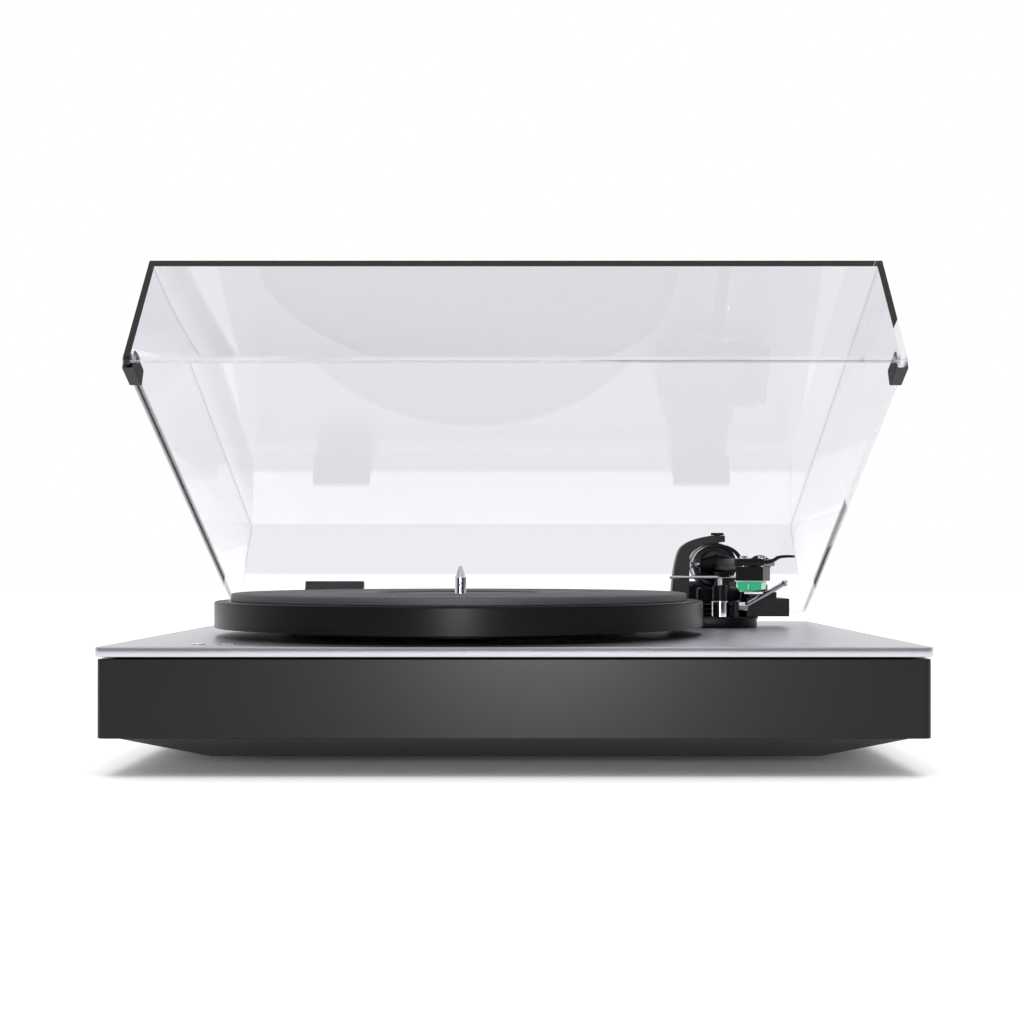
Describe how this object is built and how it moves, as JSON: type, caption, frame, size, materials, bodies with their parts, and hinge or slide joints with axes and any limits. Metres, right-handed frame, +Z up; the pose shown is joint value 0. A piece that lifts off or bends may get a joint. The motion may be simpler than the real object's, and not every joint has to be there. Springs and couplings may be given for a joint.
{
  "type": "turntable record player",
  "caption": "Belt-driven record player with a clear hinged dust cover, straight pivoted tonearm with counterweight, platter with mat and spindle, and lift lever.",
  "frame": {"origin": "on the standing surface, midway between the front edge of the top plate and the rearmost terminal, on the plate's centre line", "axes": "+X to the right seen from the front, +Y to the back, +Z up; the front faces -Y"},
  "size_m": [0.435, 0.3778, 0.2816],
  "materials": {
    "charcoal_paint": "matte paint on fibreboard",
    "satin_aluminium": "satin",
    "black_plastic": "matte",
    "black_metal": "satin",
    "black_tube": "satin black",
    "rubber": "matte",
    "chrome": "polished",
    "brass": "polished",
    "clear_acrylic": "clear",
    "green_plastic": "satin",
    "white_plastic": "satin",
    "board": "matte"
  },
  "bodies": {
    "cabinet": {"plinth": "charcoal_paint", "top_plate": "satin_aluminium", "bottom_pan": "black_plastic", "foot_front_left": "rubber", "foot_front_right": "rubber", "foot_rear_left": "rubber", "foot_rear_right": "rubber", "terminal_panel": "black_plastic", "output_jack_left": "brass", "output_jack_right": "brass", "ground_post": "brass", "power_inlet": "black_plastic", "main_bearing": "brass", "thrust_ball": "chrome", "motor_bracket": "black_metal", "motor": "black_metal", "drive_belt": "rubber", "circuit_board": "board", "hinge_base_left": "black_metal", "hinge_base_right": "black_metal", "hinge_pin_left": "chrome", "hinge_pin_right": "chrome", "arm_base": "black_plastic", "arm_collar": "chrome", "arm_turret": "black_plastic", "arm_bridge": "black_metal", "pivot_screw": "black_metal", "lift_cylinder": "chrome", "lift_sleeve": "black_plastic"},
    "platter_assembly": {"platter": "black_tube", "mat": "rubber", "spindle": "chrome"},
    "pulley": {"motor_pulley": "brass"},
    "cover": {"dust_cover": "clear_acrylic", "bumper_left": "rubber", "bumper_right": "rubber", "hinge_leaf_left": "black_metal", "hinge_leaf_right": "black_metal"},
    "arm_yoke": {"gimbal_ring": "chrome", "bearing_screw_left": "chrome", "bearing_screw_right": "chrome"},
    "arm_beam": {"arm_tube": "black_tube", "headshell": "black_plastic", "cartridge_body": "black_plastic", "cartridge_screw_left": "chrome", "cartridge_screw_right": "chrome", "stylus_holder": "green_plastic", "stylus_guard": "white_plastic", "cantilever": "chrome"},
    "head_collar": {"headshell_collar": "black_metal"},
    "weight": {"counterweight": "black_metal"},
    "weight_dial": {"counterweight_dial": "black_plastic"},
    "lever": {"cue_lever": "chrome"},
    "lift": {"lift_rail": "chrome"},
    "clip": {"rest_clip": "black_plastic"},
    "skate_knob": {"antiskate_knob": "black_plastic"},
    "power": {"power_button": "chrome"},
    "speed": {"speed_button": "chrome"},
    "output_selector": {"output_switch": "black_plastic"},
    "earth_nut": {"ground_nut": "brass"}
  },
  "joints": [
    {"name": "cover_hinge", "type": "hinge", "parent": "cabinet", "child": "cover", "pos_m": [0, 0.17, 0.0745], "axis": [-1, 0, 0], "range_deg": [-25.3, 40]},
    {"name": "platter_spin", "type": "hinge", "parent": "cabinet", "child": "platter_assembly", "pos_m": [-0.0357, -0.0285, 0.0875], "axis": [0, 0, 1], "continuous": true},
    {"name": "pulley_spin", "type": "hinge", "parent": "cabinet", "child": "pulley", "pos_m": [-0.12409, 0.05989, 0.0725], "axis": [0, 0, 1], "continuous": true},
    {"name": "arm_swing", "type": "hinge", "parent": "cabinet", "child": "arm_yoke", "pos_m": [0.1389, 0.095, 0.1099], "axis": [0, 0, 1], "range_deg": [-40, 0]},
    {"name": "arm_tilt", "type": "hinge", "parent": "arm_yoke", "child": "arm_beam", "pos_m": [0.1389, 0.095, 0.1099], "axis": [-0.9998, -0.0175, 0], "range_deg": [0, 12]},
    {"name": "head_collar_turn", "type": "hinge", "parent": "arm_beam", "child": "head_collar", "pos_m": [0.1389, 0.095, 0.1099], "axis": [-0.0175, 0.9998, 0], "range_deg": [0, 90]},
    {"name": "counterweight_turn", "type": "hinge", "parent": "arm_beam", "child": "weight", "pos_m": [0.1389, 0.095, 0.1099], "axis": [-0.0175, 0.9998, 0], "range_deg": [-360, 360]},
    {"name": "dial_turn", "type": "hinge", "parent": "arm_beam", "child": "weight_dial", "pos_m": [0.1389, 0.095, 0.1099], "axis": [-0.0175, 0.9998, 0], "range_deg": [-360, 360]},
    {"name": "cue_lever_turn", "type": "hinge", "parent": "cabinet", "child": "lever", "pos_m": [0.151, 0.051, 0.0817], "axis": [1, 0, 0], "range_deg": [0, 45]},
    {"name": "lift_slide", "type": "slide", "parent": "cabinet", "child": "lift", "axis": [0, 0, 1], "range_m": [-0.003, 0]},
    {"name": "clip_turn", "type": "hinge", "parent": "cabinet", "child": "clip", "pos_m": [0.146, 0.0727, 0.1035], "axis": [0, 1, 0], "range_deg": [0, 60]},
    {"name": "antiskate_turn", "type": "hinge", "parent": "cabinet", "child": "skate_knob", "pos_m": [0.1665, 0.09, 0.0935], "axis": [0, 0, 1], "range_deg": [0, 270]},
    {"name": "power_press", "type": "slide", "parent": "cabinet", "child": "power", "axis": [0, 0, -1], "range_m": [0, 0.0015], "stiffness_N_per_m": 200, "springref_m": -0.002},
    {"name": "speed_press", "type": "slide", "parent": "cabinet", "child": "speed", "axis": [0, 0, -1], "range_m": [0, 0.0015], "stiffness_N_per_m": 200, "springref_m": -0.002},
    {"name": "output_select", "type": "slide", "parent": "cabinet", "child": "output_selector", "axis": [1, 0, 0], "range_m": [0, 0.005]},
    {"name": "ground_nut_turn", "type": "hinge", "parent": "cabinet", "child": "earth_nut", "pos_m": [-0.09, 0.183, 0.038], "axis": [0, 1, 0], "range_deg": [0, 720]}
  ],
  "couplings": [
    {"joint": "pulley_spin", "follows": "platter_spin", "ratio": 11.51},
    {"joint": "lift_slide", "follows": "cue_lever_turn", "m_per_rad": -0.0038}
  ]
}
